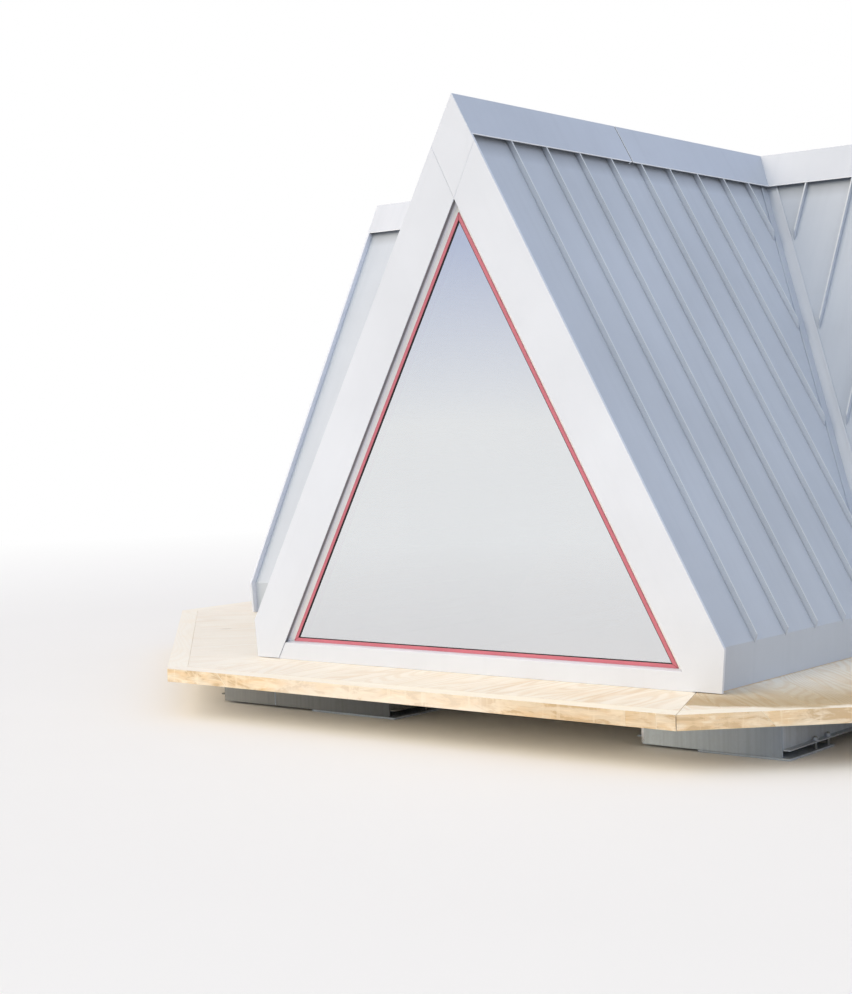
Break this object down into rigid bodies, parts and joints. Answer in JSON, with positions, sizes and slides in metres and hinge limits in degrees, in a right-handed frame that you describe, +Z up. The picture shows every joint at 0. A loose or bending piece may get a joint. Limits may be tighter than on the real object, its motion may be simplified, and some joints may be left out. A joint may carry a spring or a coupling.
{
  "type": "a-frame cabin",
  "caption": "Cross-shaped A-frame cabin with four glazed gabled arms and standing-seam metal roof on an octagonal timber deck.",
  "frame": {"origin": "on the ground, under the middle of the cabin", "axes": "+Z up; the front arm's gable faces -Y, and +X is to the right of a person who looks at that gable"},
  "size_m": [8.35, 8.35, 3.502],
  "materials": {
    "deck_timber": "sawn larch or pine, unfinished",
    "floor_timber": "planed boards",
    "panel_timber": "planed timber boards",
    "base_steel": "hot-dip galvanised",
    "roof_metal": "coated sheet, matt",
    "trim_metal": "coated sheet, matt",
    "frame_red": "powder-coated, satin",
    "gasket_black": "matt",
    "window_glass": "clear reflective insulating glass"
  },
  "bodies": {
    "root": {"deck": "deck_timber", "floor": "floor_timber", "left_base_beams": "base_steel", "right_base_beams": "base_steel", "base_end_channels": "base_steel", "base_plates": "base_steel", "front_panel_left": "panel_timber", "front_panel_right": "panel_timber", "right_panel_left": "panel_timber", "right_panel_right": "panel_timber", "back_panel_left": "panel_timber", "back_panel_right": "panel_timber", "left_panel_left": "panel_timber", "left_panel_right": "panel_timber", "front_slope_left": "roof_metal", "front_slope_right": "roof_metal", "right_slope_left": "roof_metal", "right_slope_right": "roof_metal", "back_slope_left": "roof_metal", "back_slope_right": "roof_metal", "left_slope_left": "roof_metal", "left_slope_right": "roof_metal", "front_ridge_cap": "roof_metal", "right_ridge_cap": "roof_metal", "back_ridge_cap": "roof_metal", "left_ridge_cap": "roof_metal", "front_trim_left": "trim_metal", "front_trim_right": "trim_metal", "right_trim_left": "trim_metal", "right_trim_right": "trim_metal", "back_trim_left": "trim_metal", "back_trim_right": "trim_metal", "left_trim_left": "trim_metal", "left_trim_right": "trim_metal", "apex_panels": "trim_metal", "window_sills": "trim_metal", "window_gaskets": "gasket_black", "front_window_frame": "frame_red", "right_window_frame": "frame_red", "back_window_frame": "frame_red", "left_window_frame": "frame_red", "front_glass": "window_glass", "right_glass": "window_glass", "back_glass": "window_glass", "left_glass": "window_glass"}
  },
  "joints": []
}
